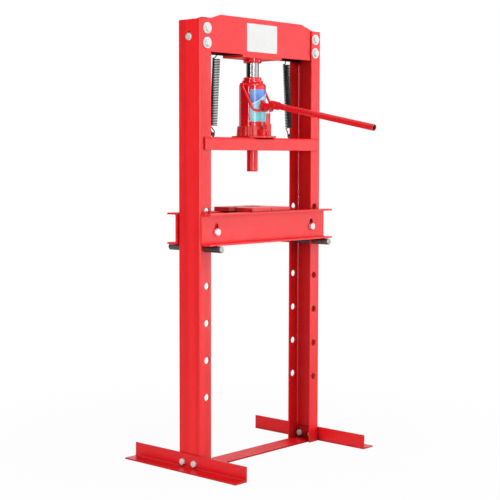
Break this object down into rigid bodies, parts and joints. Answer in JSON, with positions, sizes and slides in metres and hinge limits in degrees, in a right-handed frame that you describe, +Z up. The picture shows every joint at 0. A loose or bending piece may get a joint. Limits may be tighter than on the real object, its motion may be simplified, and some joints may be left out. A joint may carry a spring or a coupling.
{
  "type": "hydraulic press",
  "caption": "Floor-standing H-frame hydraulic press: channel uprights on angle feet, a sprung bolster that carries a bottle jack, and a pinned bed with arbor plates.",
  "frame": {"origin": "on the floor, under the axis of the jack and the press ram", "axes": "+X to the right as seen from the pump handle's side, +Y to the rear, +Z up"},
  "size_m": [0.596, 0.6434, 1.236],
  "materials": {
    "red_paint": "gloss",
    "zinc_steel": "zinc plated",
    "dark_steel": "black oxide",
    "chrome": "polished",
    "spring_steel": "oiled",
    "rubber": "matte"
  },
  "bodies": {
    "frame": {"post_left": "red_paint", "post_right": "red_paint", "foot_left": "red_paint", "foot_right": "red_paint", "floor_tie": "red_paint", "foot_bolts": "zinc_steel", "foot_nuts": "zinc_steel", "top_beam_front": "red_paint", "top_beam_rear": "red_paint", "beam_ribs": "red_paint", "beam_end_plates": "red_paint", "jack_seat_plate": "red_paint", "spring_rods": "dark_steel", "beam_bolts": "zinc_steel", "beam_washers": "zinc_steel", "beam_nuts": "zinc_steel", "web_bolts": "zinc_steel", "web_washers": "zinc_steel", "web_nuts": "zinc_steel", "spring_left": "spring_steel", "spring_right": "spring_steel", "jack_ram": "chrome", "ram_seal": "rubber", "ram_cap": "red_paint"},
    "bolster": {"bolster": "red_paint", "bolster_pad": "red_paint", "press_ram": "red_paint", "spring_eyes": "dark_steel", "eye_nuts": "zinc_steel", "jack_base": "red_paint", "jack_reservoir": "red_paint", "jack_cylinder": "dark_steel", "jack_gland": "red_paint", "ram_wiper": "rubber", "filler_plug": "rubber", "fulcrum_lug": "red_paint", "fulcrum_pin": "red_paint", "bail_studs": "red_paint", "pump_cylinder": "zinc_steel"},
    "pump lever": {"handle_socket": "red_paint", "lever_pin": "red_paint"},
    "handle": {"pump_handle": "red_paint"},
    "plunger": {"pump_plunger": "chrome"},
    "valve": {"release_valve": "red_paint"},
    "bail": {"jack_bail": "red_paint"},
    "bed": {"bed_channel_front": "red_paint", "bed_channel_rear": "red_paint", "bed_spacers": "red_paint", "bed_bolts": "zinc_steel", "bed_nuts": "zinc_steel"},
    "left plate": {"arbor_plate_left": "red_paint"},
    "right plate": {"arbor_plate_right": "red_paint"},
    "left pin": {"bed_pin_left": "dark_steel"},
    "right pin": {"bed_pin_right": "dark_steel"}
  },
  "joints": [
    {"name": "bolster_slide", "type": "slide", "parent": "frame", "child": "bolster", "axis": [0, 0, 1], "range_m": [-0.085, 0.039], "stiffness_N_per_m": 6000, "springref_m": 0.01217, "deforming": ["spring_left", "spring_right"]},
    {"name": "lever_swing", "type": "hinge", "parent": "bolster", "child": "pump lever", "pos_m": [0, -0.045, 0.997], "axis": [-1, 0, 0], "range_deg": [0, 55]},
    {"name": "plunger_stroke", "type": "slide", "parent": "bolster", "child": "plunger", "axis": [0, 0, 1], "range_m": [0, 0.0158]},
    {"name": "handle_pull", "type": "slide", "parent": "pump lever", "child": "handle", "axis": [0, -0.9816, -0.1908], "range_m": [0, 0.05]},
    {"name": "valve_turn", "type": "hinge", "parent": "bolster", "child": "valve", "pos_m": [-0.014, -0.066, 0.92], "axis": [0, -1, 0], "range_deg": [0, 360]},
    {"name": "bail_swing", "type": "hinge", "parent": "bolster", "child": "bail", "pos_m": [0, 0, 1.055], "axis": [-1, 0, 0], "range_deg": [0, 2]},
    {"name": "bed_lift", "type": "slide", "parent": "frame", "child": "bed", "axis": [0, 0, 1], "range_m": [0, 0.01]},
    {"name": "plate_left_slide", "type": "slide", "parent": "bed", "child": "left plate", "axis": [-1, 0, 0], "range_m": [0, 0.12]},
    {"name": "plate_right_slide", "type": "slide", "parent": "bed", "child": "right plate", "axis": [1, 0, 0], "range_m": [0, 0.12]},
    {"name": "pin_left_pull", "type": "slide", "parent": "frame", "child": "left pin", "axis": [0, -1, 0], "range_m": [0, 0.2]},
    {"name": "pin_right_pull", "type": "slide", "parent": "frame", "child": "right pin", "axis": [0, -1, 0], "range_m": [0, 0.2]}
  ],
  "couplings": [
    {"joint": "plunger_stroke", "follows": "lever_swing", "m_per_rad": 0.016269}
  ]
}
